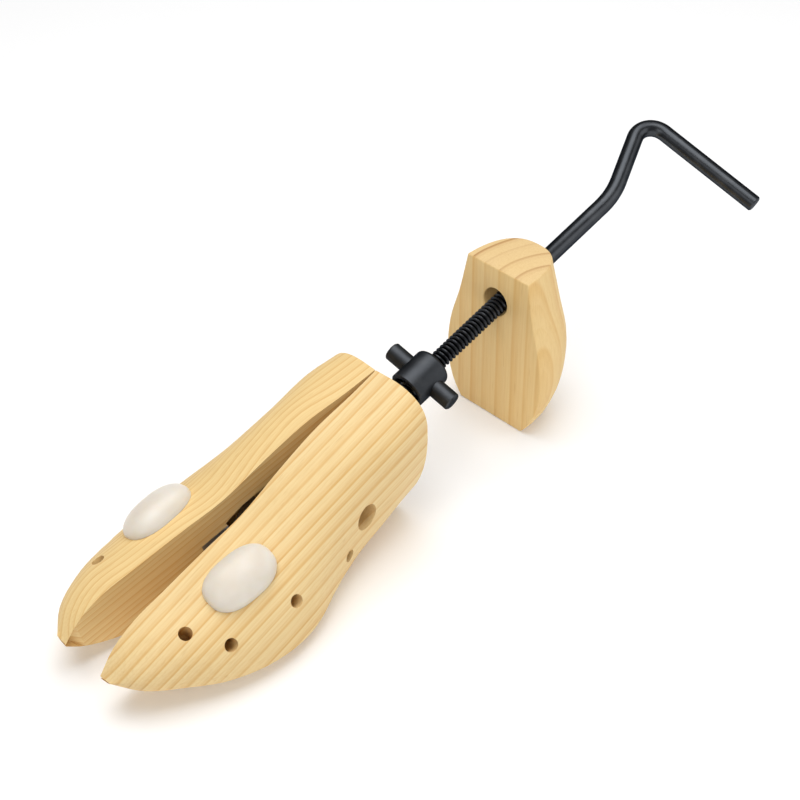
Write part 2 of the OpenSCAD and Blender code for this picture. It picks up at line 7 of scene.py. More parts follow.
import logging
import math
from dataclasses import dataclass
from enum import Enum
from typing import Any, Callable, Sequence

import bpy
from mathutils import Matrix, Vector


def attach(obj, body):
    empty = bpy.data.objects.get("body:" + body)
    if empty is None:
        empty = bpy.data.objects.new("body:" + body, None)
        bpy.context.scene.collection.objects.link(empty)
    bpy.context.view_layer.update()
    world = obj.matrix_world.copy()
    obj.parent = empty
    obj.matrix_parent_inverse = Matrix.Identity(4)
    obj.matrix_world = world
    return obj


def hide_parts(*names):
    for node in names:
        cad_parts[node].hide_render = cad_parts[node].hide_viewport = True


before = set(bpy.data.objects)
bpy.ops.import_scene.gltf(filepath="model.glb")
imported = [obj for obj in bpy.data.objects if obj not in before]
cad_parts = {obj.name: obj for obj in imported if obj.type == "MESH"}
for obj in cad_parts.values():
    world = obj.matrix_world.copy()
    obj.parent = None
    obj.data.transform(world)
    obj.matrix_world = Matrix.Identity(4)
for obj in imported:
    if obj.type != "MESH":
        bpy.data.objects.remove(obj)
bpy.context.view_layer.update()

LOG = logging.getLogger("shoe_stretcher")

# The spindle's frame, as the solids have it
ORIGIN_X = -0.07864
SPINDLE_Z = 0.0395
SPINDLE_TILT = math.radians(15.15)

# Points nearer than this are one point, and a corner this near a plane lies in it
TOUCH = 0.000004

# Edges that turn by more than this many degrees stay crisp
WOOD_CRISP = 20.0
STEEL_CRISP = 34.0
PLASTIC_CRISP = 40.0

Colour = tuple[float, float, float]
Point = tuple[float, float, float]
Span = tuple[float, float]


class Side(Enum):
    """Which half of the split last a piece belongs to."""

    LEFT = -1
    RIGHT = 1

    @property
    def word(self) -> str:
        """The side's name as the frame's nodes and bodies spell it."""
        return self.name.lower()


class Value:
    """A shader socket whose maths is written as Python."""

    def __init__(self, shader: "Shader", socket: bpy.types.NodeSocket) -> None:
        """Wraps a socket.

        Args:
            shader: the material that the socket belongs to.
            socket: an output socket that carries a number.
        """
        self.shader = shader
        self.socket = socket

    def _math(self, operation: str, first: Any, second: Any) -> "Value":
        """Adds one Math node.

        Args:
            operation: the node's operation.
            first: a number or a Value.
            second: a number or a Value.

        Returns:
            The node's result.
        """
        return self.shader.node("ShaderNodeMath", {"operation": operation}, {0: first, 1: second})

    def __add__(self, other: Any) -> "Value":
        """Self plus other."""
        return self._math("ADD", self, other)

    def __radd__(self, other: Any) -> "Value":
        """Other plus self."""
        return self._math("ADD", other, self)

    def __sub__(self, other: Any) -> "Value":
        """Self minus other."""
        return self._math("SUBTRACT", self, other)

    def __rsub__(self, other: Any) -> "Value":
        """Other minus self."""
        return self._math("SUBTRACT", other, self)

    def __mul__(self, other: Any) -> "Value":
        """Self times other."""
        return self._math("MULTIPLY", self, other)

    def __rmul__(self, other: Any) -> "Value":
        """Other times self."""
        return self._math("MULTIPLY", other, self)

    def __truediv__(self, other: Any) -> "Value":
        """Self over other."""
        return self._math("DIVIDE", self, other)

    def __pow__(self, other: Any) -> "Value":
        """Self to the power of other."""
        return self._math("POWER", self, other)

    def fraction(self) -> "Value":
        """The part behind the decimal point."""
        return self._math("FRACT", self, 0.0)

    def floor(self) -> "Value":
        """The whole number below."""
        return self._math("FLOOR", self, 0.0)

    def absolute(self) -> "Value":
        """The size without the sign."""
        return self._math("ABSOLUTE", self, 0.0)

    def above(self, low: float, high: float) -> "Value":
        """Rises from 0 at low to 1 at high.

        Args:
            low: where the rise starts.
            high: where it ends.

        Returns:
            The smooth step.
        """
        settings = {"interpolation_type": "SMOOTHSTEP"}
        return self.shader.node("ShaderNodeMapRange", settings, {0: self, 1: low, 2: high})


class Shader:
    """Builds one material's nodes."""

    # The Mix node's sockets for colours, by place
    MIX_FACTOR = 0
    MIX_FIRST = 6
    MIX_SECOND = 7
    MIX_RESULT = 2

    def __init__(self, name: str) -> None:
        """Makes an empty material with one Principled shader.

        Args:
            name: the material's name.
        """
        self.material = bpy.data.materials.new(name)
        self.material.use_nodes = True
        self.tree = self.material.node_tree
        self.tree.nodes.clear()
        self.surface = self.tree.nodes.new("ShaderNodeBsdfPrincipled")
        output = self.tree.nodes.new("ShaderNodeOutputMaterial")
        self.tree.links.new(self.surface.outputs["BSDF"], output.inputs["Surface"])

    def feed(self, socket: bpy.types.NodeSocket, value: Any) -> None:
        """Links a value to a socket, or sets the socket to it.

        Args:
            socket: the input to feed.
            value: a Value, a number, a colour or a vector.
        """
        if isinstance(value, Value):
            self.tree.links.new(value.socket, socket)
        elif isinstance(value, tuple) and len(socket.default_value) == 4:
            socket.default_value = (*value[:3], 1.0)
        else:
            socket.default_value = value

    def node(
        self,
        kind: str,
        settings: dict[str, Any],
        inputs: dict[Any, Any],
        output: Any = 0,
    ) -> Value:
        """Adds a node.

        Args:
            kind: the node's type.
            settings: the node's own properties, set first.
            inputs: values or links of its sockets, by name or place.
            output: which output to return.

        Returns:
            The output, wrapped.
        """
        made = self.tree.nodes.new(kind)
        for key, setting in settings.items():
            setattr(made, key, setting)
        for key, value in inputs.items():
            self.feed(made.inputs[key], value)
        return Value(self, made.outputs[output])

    def place(self) -> Value:
        """The point on the piece, in the row's frame."""
        return self.node("ShaderNodeTexCoord", {}, {}, "Object")

    def facing(self) -> Value:
        """The surface's normal, in the row's frame."""
        return self.node("ShaderNodeTexCoord", {}, {}, "Normal")

    def along(self, vector: Value, axis: Sequence[float]) -> Value:
        """The share of a vector that lies along an axis.

        Args:
            vector: the vector.
            axis: the axis, of length 1.

        Returns:
            The dot product.
        """
        settings = {"operation": "DOT_PRODUCT"}
        return self.node("ShaderNodeVectorMath", settings, {0: vector, 1: tuple(axis)}, "Value")

    def offset(self, vector: Value, by: Sequence[float]) -> Value:
        """A vector less a fixed one.

        Args:
            vector: the vector.
            by: what is taken off.

        Returns:
            The difference.
        """
        settings = {"operation": "SUBTRACT"}
        return self.node("ShaderNodeVectorMath", settings, {0: vector, 1: tuple(by)})

    def vector(self, x: Any, y: Any, z: Any) -> Value:
        """Joins three numbers to a vector.

        Args:
            x: a number or a Value.
            y: a number or a Value.
            z: a number or a Value.

        Returns:
            The vector.
        """
        return self.node("ShaderNodeCombineXYZ", {}, {0: x, 1: y, 2: z})

    def noise(self, vector: Value, scale: float, detail: float = 2.0, rough: float = 0.5) -> Value:
        """Smooth noise around 0.5.

        Args:
            vector: where it is read.
            scale: its fineness.
            detail: octaves.
            rough: how strong the finer octaves are.

        Returns:
            The noise.
        """
        inputs = {"Vector": vector, "Scale": scale, "Detail": detail, "Roughness": rough}
        return self.node("ShaderNodeTexNoise", {}, inputs, "Fac")

    def mix(self, factor: Any, first: Any, second: Any, blend: str = "MIX") -> Value:
        """Mixes two colours.

        Args:
            factor: the share of the second.
            first: a colour or a link.
            second: a colour or a link.
            blend: how they are mixed.

        Returns:
            The mixed colour.
        """
        settings = {"data_type": "RGBA", "blend_type": blend}
        inputs = {self.MIX_FACTOR: factor, self.MIX_FIRST: first, self.MIX_SECOND: second}
        return self.node("ShaderNodeMix", settings, inputs, self.MIX_RESULT)

    def bump(self, height: Value, depth: float, strength: float = 1.0) -> Value:
        """Relief from a height.

        Args:
            height: 0 to 1.
            depth: how deep 1 is.
            strength: how much of it shows.

        Returns:
            The normal.
        """
        inputs = {"Height": height, "Distance": depth, "Strength": strength}
        return self.node("ShaderNodeBump", {}, inputs)

    def finish(self, **inputs: Any) -> bpy.types.Material:
        """Feeds the Principled shader.

        Args:
            **inputs: its sockets, with _ for a space.

        Returns:
            The material.
        """
        for key, value in inputs.items():
            self.feed(self.surface.inputs[key.replace("_", " ")], value)
        return self.material


# A place in a log: the distances from the pith across it, both ways, and along the grain
LogPlace = tuple[Value, Value, Value]


@dataclass(frozen=True)
class Pine:
    """Sanded pine, cut from a log whose rings show on every face.

    A scale is waves per metre across the log, across it the other way, and along its grain.
    """

    name: str
    pith: Point
    grain: Point
    ring: float
    early: Colour = (0.885, 0.680, 0.355)
    late: Colour = (0.730, 0.415, 0.125)
    end_early: Colour = (0.800, 0.580, 0.290)
    end_late: Colour = (0.470, 0.235, 0.085)
    shade: Colour = (0.820, 0.580, 0.240)
    fibre_tint: Colour = (0.62, 0.42, 0.20)
    fleck_tint: Colour = (0.66, 0.46, 0.26)
    wander_scale: Point = (22.0, 22.0, 5.0)
    wave_scale: Point = (90.0, 90.0, 12.0)
    fibre_scale: Point = (1400.0, 1400.0, 42.0)
    fleck_scale: Point = (900.0, 900.0, 70.0)
    cloud_scale: Point = (40.0, 40.0, 9.0)
    warp: float = 0.0010
    uneven: float = 1.5
    phase: float = 0.0
    strength: float = 0.95
    end_strength: float = 0.95
    seed: float = 0.0

    def material(self) -> bpy.types.Material:
        """Builds the wood.

        Returns:
            The material.
        """
        shader = Shader(self.name)
        grain = Vector(self.grain).normalized()
        log = self.log(shader, grain)
        late = self.late_wood(shader, self.rings(shader, log))
        fibre = shader.noise(self.scaled(shader, log, self.fibre_scale), 1.0, 3.0, 0.6)
        by_grain = (0.0, 0.0, self.seed)
        fleck = shader.noise(self.scaled(shader, log, self.fleck_scale, by_grain), 1.0, 1.0)
        cloud = shader.noise(self.scaled(shader, log, self.cloud_scale, by_grain), 1.0, 2.0)
        side = shader.mix(late * self.strength, self.early, self.late)
        end = shader.mix(late**2.5 * self.end_strength, self.end_early, self.end_late)
        cut = shader.along(shader.facing(), grain).absolute().above(0.55, 0.95)
        colour = shader.mix(cut, side, end)
        colour = shader.mix(cloud.above(0.35, 0.75) * 0.25, colour, self.shade)
        fibres = 0.14 * fibre.above(0.30, 0.75)
        colour = shader.mix(fibres, colour, self.fibre_tint, "MULTIPLY")
        flecks = fleck.above(0.66, 0.80) * 0.22
        colour = shader.mix(flecks, colour, self.fleck_tint, "MULTIPLY")
        return shader.finish(
            Base_Color=colour,
            Roughness=0.56 - 0.08 * late + 0.10 * (fibre - 0.5),
            Normal=shader.bump(fibre * 0.6 + late * 0.4, 0.00010, 0.5),
            Specular_IOR_Level=0.25,
        )

    def log(self, shader: Shader, grain: Vector) -> LogPlace:
        """Places the surface in the log.

        Args:
            shader: the material.
            grain: the grain's direction, of length 1.

        Returns:
            The place in the log.
        """
        upright = abs(grain.z) > 0.9
        across = grain.cross(Vector((1.0, 0.0, 0.0) if upright else (0.0, 0.0, 1.0)))
        across.normalize()
        point = shader.offset(shader.place(), self.pith)
        u, v, w = (shader.along(point, axis) for axis in (across, grain.cross(across), grain))
        return u, v, w

    def scaled(
        self,
        shader: Shader,
        log: LogPlace,
        scale: Point,
        shift: Point = (0.0, 0.0, 0.0),
    ) -> Value:
        """Stretches the log's frame, so that noise in it follows the grain.

        Args:
            shader: the material.
            log: the place in the log.
            scale: waves per metre, each way.
            shift: moves the pattern, so that no two boards are alike.

        Returns:
            The stretched place.
        """
        moved = [part * size + by for part, size, by in zip(log, scale, shift)]
        return shader.vector(*moved)

    def rings(self, shader: Shader, log: LogPlace) -> Value:
        """Counts the rings from the pith, warped and of uneven width.

        Args:
            shader: the material.
            log: the place in the log.

        Returns:
            The number of rings.
        """
        u, v, _ = log
        by_u, by_v = (self.seed, 0.0, 0.0), (0.0, self.seed, 0.0)
        wander = shader.noise(self.scaled(shader, log, self.wander_scale, by_u), 1.0, 1.0) - 0.5
        wave = shader.noise(self.scaled(shader, log, self.wave_scale, by_v), 1.0, 1.0) - 0.5
        radius = (u * u + v * v) ** 0.5
        radius = radius + wander * (4.0 * self.warp) + wave * (0.6 * self.warp)
        years = shader.vector(radius * (0.45 / self.ring), self.seed, 0.0)
        drift = shader.noise(years, 1.0, 1.0) - 0.5
        return radius / self.ring + self.phase + self.uneven * drift

    def late_wood(self, shader: Shader, rings: Value) -> Value:
        """Darkens each ring towards its end, some years more than others.

        Args:
            shader: the material.
            rings: the number of rings from the pith.

        Returns:
            The share of late wood: a broad band, a line at its end and fine lines between.
        """
        share = rings.fraction()
        year = shader.node(
            "ShaderNodeTexWhiteNoise",
            {"noise_dimensions": "1D"},
            {"W": rings.floor() + self.seed},
            "Value",
        )
        fade = 1.0 - share.above(0.90, 1.0)
        band = share.above(0.15, 0.85) * fade * (0.35 + 0.65 * year)
        line = share.above(0.66, 0.88) * fade * (0.45 + 0.55 * (year * 7.0).fraction())
        fine = (rings * 3.0).fraction().above(0.35, 0.95) * 0.16
        return band * 0.50 + line * 0.50 + fine


@dataclass(frozen=True)
class BlackSteel:
    """Black-oxide steel with a satin oil film."""

    name: str
    base: Colour = (0.054, 0.058, 0.064)
    worn: Colour = (0.082, 0.086, 0.092)
    grime: Colour = (0.004, 0.004, 0.005)
    # Painted shade: the thread's grooves are darkened towards this colour
    sheen: Colour = (0.30, 0.31, 0.33)
    groove: Span = (0.0031, 0.0037)
    thread_end: Span = (0.088, 0.090)
    rough: float = 0.31

    def material(self) -> bpy.types.Material:
        """Builds the finish.

        Returns:
            The material.
        """
        shader = Shader(self.name)
        place = shader.place()
        patch = shader.noise(place, 160.0, 3.0)
        grit = shader.noise(place, 2600.0, 2.0)
        steel = shader.mix(patch.above(0.40, 0.72) * 0.5, self.base, self.worn)
        # Painted shade darkens the base colour towards near black in the thread's grooves
        return shader.finish(
            Base_Color=shader.mix(self.in_groove(shader, place) * 0.9, steel, self.grime),
            Metallic=1.0,
            Roughness=self.rough + 0.14 * (patch - 0.5) + 0.08 * (grit - 0.5),
            Normal=shader.bump(grit, 0.00003, 0.35),
            Specular_Tint=self.sheen,
        )

    def in_groove(self, shader: Shader, place: Value) -> Value:
        """Finds the thread's groove, where shade is painted in.

        Args:
            shader: the material.
            place: the point on the piece.

        Returns:
            1 at the bottom of the groove and 0 on the crests and off the thread.
        """
        sine, cosine = math.sin(SPINDLE_TILT), math.cos(SPINDLE_TILT)
        point = shader.offset(place, (ORIGIN_X, 0.0, SPINDLE_Z))
        over = shader.along(point, (-sine, 0.0, cosine))
        side = shader.along(point, (0.0, 1.0, 0.0))
        run = shader.along(point, (cosine, 0.0, sine))
        depth = 1.0 - ((over * over + side * side) ** 0.5).above(*self.groove)
        return depth * (1.0 - run.above(*self.thread_end))


@dataclass(frozen=True)
class ZincSteel:
    """Zinc-plated steel, faintly blue and brushed."""

    name: str
    base: Colour = (0.50, 0.51, 0.53)
    dull: Colour = (0.36, 0.37, 0.40)
    brushed: Point = (300.0, 4000.0, 4000.0)
    rough: float = 0.34

    def material(self) -> bpy.types.Material:
        """Builds the finish.

        Returns:
            The material.
        """
        shader = Shader(self.name)
        place = shader.place()
        patch = shader.noise(place, 420.0, 2.0)
        stretch = {"Vector": place, "Scale": self.brushed}
        stretched = shader.node("ShaderNodeMapping", {}, stretch)
        brush = shader.noise(stretched, 1.0, 2.0)
        return shader.finish(
            Base_Color=shader.mix(patch.above(0.35, 0.75) * 0.4, self.base, self.dull),
            Metallic=1.0,
            Roughness=self.rough + 0.14 * (brush - 0.5) + 0.10 * (patch - 0.5),
            Normal=shader.bump(brush, 0.00002, 0.3),
        )


@dataclass(frozen=True)
class IvoryPlastic:
    """Milky moulded plastic that lets some light through."""

    name: str
    base: Colour = (0.760, 0.685, 0.580)
    milky: Colour = (0.830, 0.785, 0.710)
    glow: Point = (1.0, 0.75, 0.5)
    glow_depth: float = 0.004

    def material(self) -> bpy.types.Material:
        """Builds the finish.

        Returns:
            The material.
        """
        shader = Shader(self.name)
        place = shader.place()
        milk = shader.noise(place, 70.0, 3.0)
        grain = shader.noise(place, 1500.0, 2.0)
        return shader.finish(
            Base_Color=shader.mix(milk.above(0.30, 0.72) * 0.8, self.base, self.milky),
            Roughness=0.36 + 0.10 * (grain - 0.5) + 0.08 * (milk - 0.5),
            Normal=shader.bump(grain, 0.00004, 0.25),
            Subsurface_Weight=0.45,
            Subsurface_Radius=self.glow,
            Subsurface_Scale=self.glow_depth,
        )


def select_only(piece: bpy.types.Object) -> None:
    """Makes a piece the only one selected, and active.

    Args:
        piece: the piece.
    """
    bpy.ops.object.select_all(action="DESELECT")
    piece.hide_set(False)
    piece.select_set(True)
    bpy.context.view_layer.objects.active = piece


def edit(piece: bpy.types.Object, work: Callable[[], None]) -> None:
    """Runs mesh operators on a whole piece in edit mode.

    Args:
        piece: the piece.
        work: what to do while everything on it is selected.
    """
    select_only(piece)
    bpy.ops.object.mode_set(mode="EDIT")
    bpy.ops.mesh.select_all(action="SELECT")
    work()
    bpy.ops.object.mode_set(mode="OBJECT")


def apply_modifiers(piece: bpy.types.Object) -> None:
    """Applies all of a piece's modifiers in order.

    Args:
        piece: the piece.
    """
    select_only(piece)
    for modifier in list(piece.modifiers):
        bpy.ops.object.modifier_apply(modifier=modifier.name)


def settle(piece: bpy.types.Object, matrix: Matrix) -> None:
    """Moves a finished piece's shape into the row's frame and leaves its object at the origin.

    Args:
        piece: the piece.
        matrix: from the piece's own space to the row's frame.
    """
    piece.data.transform(matrix @ piece.matrix_world)
    piece.matrix_world = Matrix.Identity(4)


def dress(piece: bpy.types.Object, material: bpy.types.Material, body: str) -> None:
    """Gives a new piece its finish and lets it ride.

    Args:
        piece: the piece.
        material: its finish.
        body: the body that it moves with.
    """
    piece.data.materials.clear()
    piece.data.materials.append(material)
    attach(piece, body)


def dress_node(node: str, material: bpy.types.Material) -> None:
    """Gives a CAD node a better finish.

    Args:
        node: the node's name.
        material: its finish.
    """
    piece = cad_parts[node]
    if not piece.material_slots:
        piece.data.materials.append(material)
    for slot in piece.material_slots:
        slot.material = material


def replace_faces(
    piece: bpy.types.Object, chosen: Sequence[bool], close: Callable[[], None]
) -> None:
    """Deletes faces of a piece and closes the hole that they leave.

    Args:
        piece: the piece.
        chosen: for each face, whether it goes.
        close: closes the hole, in edit mode.
    """
    select_only(piece)
    bpy.context.tool_settings.mesh_select_mode = (False, False, True)
    piece.data.polygons.foreach_set("select", chosen)
    bpy.ops.object.mode_set(mode="EDIT")
    bpy.ops.mesh.delete(type="FACE")
    close()
    bpy.ops.object.mode_set(mode="OBJECT")
    bpy.context.tool_settings.mesh_select_mode = (True, False, False)


def folded_planes(mesh: bpy.types.Mesh) -> list[tuple[Vector, float]]:
    """Finds the planes in which triangles fold back over themselves.

    Args:
        mesh: the mesh.

    Returns:
        Each plane's normal and its distance from the origin.
    """
    sharing: dict[tuple[int, int], list[bpy.types.MeshPolygon]] = {}
    for polygon in mesh.polygons:
        for key in polygon.edge_keys:
            sharing.setdefault(key, []).append(polygon)
    planes = []
    for polygons in sharing.values():
        if len(polygons) == 2 and polygons[0].normal.dot(polygons[1].normal) < -0.99:
            widest = max(polygons, key=lambda polygon: polygon.area)
            planes.append((widest.normal.copy(), widest.normal.dot(widest.center)))
    return planes


def mend_flats(piece: bpy.types.Object) -> None:
    """Fills a flat face anew where its triangles fold back over themselves.

    Two such faces that meet leave one hole and are filled as one. That is a known fault: at
    the toe tips it puts a few triangles between the inner face and the tip's end face.

    Args:
        piece: the welded piece.
    """
    mesh = piece.data
    planes = folded_planes(mesh)
    if not planes:
        return

    def is_flat(polygon: bpy.types.MeshPolygon) -> bool:
        """Tells whether a face lies in one of the planes."""
        corners = [mesh.vertices[index].co for index in polygon.vertices]
        return any(
            all(abs(normal.dot(corner) - place) < TOUCH for corner in corners)
            for normal, place in planes
        )

    def fill() -> None:
        """Closes the open edges with new triangles."""
        bpy.ops.mesh.select_mode(type="EDGE")
        bpy.ops.mesh.select_all(action="DESELECT")
        bpy.ops.mesh.select_non_manifold(
            use_wire=False, use_multi_face=False, use_non_contiguous=False, use_verts=False
        )
        bpy.ops.mesh.fill(use_beauty=True)
        bpy.ops.mesh.select_all(action="SELECT")
        bpy.ops.mesh.normals_make_consistent(inside=False)

    flats = [is_flat(polygon) for polygon in mesh.polygons]
    replace_faces(piece, flats, fill)
    LOG.info("mended %d flat faces of %s", sum(flats), piece.name)


def copy_of(node: str, name: str, sharp: float, soften: float = 0.0) -> bpy.types.Object:
    """Copies a CAD node as one joined skin with smooth shading.

    Args:
        node: the node to copy.
        name: the new piece's name.
        sharp: edges that turn by more than this many degrees stay crisp.
        soften: width of a small bevel on those edges, or 0.

    Returns:
        The new piece.
    """
    piece = bpy.data.objects.new(name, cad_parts[node].data.copy())
    bpy.context.scene.collection.objects.link(piece)

    def weld() -> None:
        """Makes one skin of the node's faces."""
        bpy.ops.mesh.remove_doubles(threshold=TOUCH)
        bpy.ops.mesh.customdata_custom_splitnormals_clear()
        bpy.ops.mesh.mark_sharp(clear=True)
        bpy.ops.mesh.dissolve_degenerate(threshold=TOUCH)

    def join_flats() -> None:
        """Joins the triangles of each flat face."""
        bpy.ops.mesh.dissolve_limited(angle_limit=math.radians(0.5))

    edit(piece, weld)
    mend_flats(piece)
    if soften:
        edit(piece, join_flats)
        bevel = piece.modifiers.new("edges", "BEVEL")
        bevel.width = soften
        bevel.segments = 3
        bevel.limit_method = "ANGLE"
        bevel.angle_limit = math.radians(sharp)
        bevel.use_clamp_overlap = False
        apply_modifiers(piece)
    select_only(piece)
    bpy.ops.object.shade_smooth_by_angle(angle=math.radians(sharp))
    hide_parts(node)
    return piece


def spindle_matrix(along: float = 0.0) -> Matrix:
    """The spindle's frame: x along its axis towards the handle.

    Args:
        along: how far up the axis its origin is moved.

    Returns:
        From the spindle's frame to the row's.
    """
    return (
        Matrix.Translation((ORIGIN_X, 0.0, SPINDLE_Z))
        @ Matrix.Rotation(-SPINDLE_TILT, 4, "Y")
        @ Matrix.Translation((along, 0.0, 0.0))
    )


@dataclass
class LastHalf:
    """One sawn half of the last with its wear plate, screws, hinge leaves and spring pin."""

    side: Side
    wood: Pine
    metal: bpy.types.Material
    hidden: Sequence[str] = (
        "wear_plate",
        "plate_screws",
        "hinge_leaves",
        "hinge_screws",
        "spring_pin",
    )

    def build(self) -> None:
        """Makes the wood and dresses its metal."""
        word = self.side.word
        piece = copy_of(f"{word}_last_half", f"{word}_last_wood", WOOD_CRISP)
        dress(piece, self.wood.material(), f"{word}_half")
        for part in self.hidden:
            dress_node(f"{word}_{part}", self.metal)


@dataclass
class PressurePlug:
    """An oval pressure plug in its peg hole, rounder at its ends than the solid."""

    side: Side
    plastic: bpy.types.Material
    seat: Point = (-0.171251, 0.023648, 0.035258)
    normal: Point = (-0.182811, 0.407881, 0.894546)
    along: Point = (0.981600, 0.025300, 0.189300)
    half_length: float = 0.0149
    half_width: float = 0.0094
    height: float = 0.0070
    fullness: float = 2.5
    crown: float = 0.86
    seat_radius: float = 0.040
    seat_sink: float = 0.0004
    peg_radius: float = 0.0023
    peg_length: float = 0.0110
    peg_overlap: float = 0.0010

    def build(self) -> None:
        """Makes the plug."""
        word = self.side.word
        dome = self.dome()
        peg = self.peg()
        select_only(dome)
        peg.select_set(True)
        bpy.ops.object.join()
        settle(dome, self.matrix())
        bpy.ops.object.shade_smooth_by_angle(angle=math.radians(PLASTIC_CRISP))
        dress(dome, self.plastic, f"{word}_plug")
        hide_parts(f"{word}_pressure_plug")

    def matrix(self) -> Matrix:
        """The seat's frame: x along the plug, z out of the wood.

        Returns:
            From the seat's frame to the row's.
        """
        flip = Vector((1.0, float(self.side.value), 1.0))
        out = (Vector(self.normal) * flip).normalized()
        run = Vector(self.along) * flip
        run = (run - out * run.dot(out)).normalized()
        turn = Matrix((run, out.cross(run), out)).transposed()
        return Matrix.Translation(Vector(self.seat) * flip) @ turn.to_4x4()

    def dome(self) -> bpy.types.Object:
        """Shapes a sphere to the oval head that lies on the wood.

        Returns:
            The head, in the seat's frame.
        """
        bpy.ops.object.select_all(action="DESELECT")
        bpy.ops.mesh.primitive_uv_sphere_add(segments=72, ring_count=36, radius=1.0)
        piece = bpy.context.active_object
        piece.name = f"{self.side.word}_plug_moulding"
        for vertex in piece.data.vertices:
            x, y, z = vertex.co
            out = math.hypot(x, y)
            if out > 1e-6:
                norm = (abs(x) ** self.fullness + abs(y) ** self.fullness) ** (1.0 / self.fullness)
                x, y = x * out / norm, y * out / norm
            y *= self.half_width
            rim = math.sqrt(self.seat_radius**2 - y**2) - self.seat_radius
            if z > 0.0:
                z = rim + (self.height - rim) * z**self.crown
            else:
                z = rim + self.seat_sink * z
            vertex.co = (x * self.half_length, y, z)
        return piece

    def peg(self) -> bpy.types.Object:
        """Makes the round peg under the head.

        Returns:
            The peg, in the seat's frame.
        """
        bpy.ops.object.select_all(action="DESELECT")
        bpy.ops.mesh.primitive_cylinder_add(
            vertices=40,
            radius=self.peg_radius,
            depth=self.peg_length + self.peg_overlap,
            location=(0.0, 0.0, (self.peg_overlap - self.peg_length) / 2.0),
        )
        piece = bpy.context.active_object
        settle(piece, Matrix.Identity(4))
        return piece


@dataclass
class HeelBlock:
    """The sliding heel block."""

    wood: Pine
    softened: float = 0.0007

    def build(self) -> None:
        """Makes the block."""
        piece = copy_of("heel_block", "heel_wood", WOOD_CRISP, self.softened)
        dress(piece, self.wood.material(), "heel")


@dataclass
class Spindle:
    """The steel rod: its journal, shank and handle from the solids, with a cut thread."""

    steel: bpy.types.Material
    thread_from: float = -0.0570
    thread_to: float = 0.0872
    pitch: float = 0.002
    crest: float = 0.0040
    root: float = 0.00285
    root_rise: float = 0.00012
    crest_drop: float = 0.00018
    steps: int = 28

    def build(self) -> None:
        """Makes the rod and its thread."""
        rod = copy_of("spindle", "spindle_rod", STEEL_CRISP)
        self.cut_away(rod)
        thread = self.thread()
        select_only(rod)
        thread.select_set(True)
        bpy.ops.object.join()
        bpy.ops.object.shade_smooth_by_angle(angle=math.radians(STEEL_CRISP))
        dress(rod, self.steel, "spindle")

    def cut_away(self, rod: bpy.types.Object) -> None:
        """Takes the plain cylinder out of the rod where the thread goes, and closes both ends.

        Args:
            rod: the copied rod.
        """
        matrix = spindle_matrix()
        axis = matrix.to_3x3() @ Vector((1.0, 0.0, 0.0))

        def split() -> None:
            """Cuts the rod at both ends of the thread."""
            for place in (self.thread_from, self.thread_to):
                bpy.ops.mesh.select_all(action="SELECT")
                bpy.ops.mesh.bisect(plane_co=matrix @ Vector((place, 0.0, 0.0)), plane_no=axis)
            bpy.ops.mesh.select_all(action="DESELECT")

        edit(rod, split)
        back = matrix.inverted()

        def is_skin(polygon: bpy.types.MeshPolygon) -> bool:
            """Tells whether a face is the plain cylinder's, between the cuts."""
            middle = back @ polygon.center
            between = self.thread_from < middle.x < self.thread_to
            return between and math.hypot(middle.y, middle.z) > self.root

        def cap() -> None:
            """Closes the rod's two open ends."""
            bpy.ops.mesh.select_all(action="SELECT")
            bpy.ops.mesh.fill_holes(sides=0)

        replace_faces(rod, [is_skin(polygon) for polygon in rod.data.polygons], cap)

    def thread(self) -> bpy.types.Object:
        """Winds the thread's profile along the rod.

        Returns:
            The thread, with plain ends that run into the rod.
        """
        turns = int((self.thread_to - self.thread_from) / self.pitch)
        bpy.ops.object.select_all(action="DESELECT")
        bpy.ops.mesh.primitive_plane_add(size=1.0)
        piece = bpy.context.active_object
        piece.name = "spindle_thread"
        corners = self.profile()
        edges = [(index, index + 1) for index in range(len(corners) - 1)]
        mesh = bpy.data.meshes.new("thread_profile")
        mesh.from_pydata([(radius, 0.0, along) for radius, along in corners], edges, [])
        piece.data = mesh
        screw = piece.modifiers.new("wind", "SCREW")
        screw.axis = "Z"
        screw.angle = 2.0 * math.pi
        screw.screw_offset = self.pitch
        screw.iterations = turns - 1
        screw.steps = self.steps
        screw.render_steps = self.steps
        screw.use_merge_vertices = False
        apply_modifiers(piece)

        def weld() -> None:
            """Makes one skin of the turns."""
            bpy.ops.mesh.remove_doubles(threshold=TOUCH)
            bpy.ops.mesh.normals_make_consistent(inside=False)

        edit(piece, weld)
        turn = Matrix.Rotation(math.radians(90.0), 4, "Y")
        settle(piece, spindle_matrix(self.thread_from) @ turn)
        return piece

    def profile(self) -> list[Span]:
        """Outlines one turn of the thread, with its crest and root rounded off.

        Returns:
            Each corner's distance from the axis and along it.
        """
        foot = self.root + self.root_rise
        shoulder = self.crest - self.crest_drop
        return [
            (self.root, 0.0),
            (foot, 0.00018),
            (shoulder, 0.00080),
            (self.crest, 0.00092),
            (self.crest, 0.00118),
            (shoulder, 0.00130),
            (foot, 0.00192),
            (self.root, self.pitch),
        ]


@dataclass
class LengthNut:
    """The barrel nut and its two arms."""

    steel: bpy.types.Material

    def build(self) -> None:
        """Makes the barrel and the arms."""
        for node, name in (("length_nut", "nut_barrel"), ("length_nut_arms", "nut_arms")):
            dress(copy_of(node, name, STEEL_CRISP), self.steel, "nut")


@dataclass
class Spreader:
    """The hidden works between the halves."""

    metal: bpy.types.Material
    nodes: Sequence[str] = (
        "trunnion_nut",
        "spreader_wedge",
        "wedge_retaining_pins",
        "hinge_pins",
        "return_spring",
    )

    def build(self) -> None:
        """Dresses the works."""
        for node in self.nodes:
            dress_node(node, self.metal)


@dataclass(frozen=True)
class Lamp:
    """One soft square lamp: where it hangs, its side in metres and its power in watts."""

    name: str
    place: Point
    size: float
    power: float


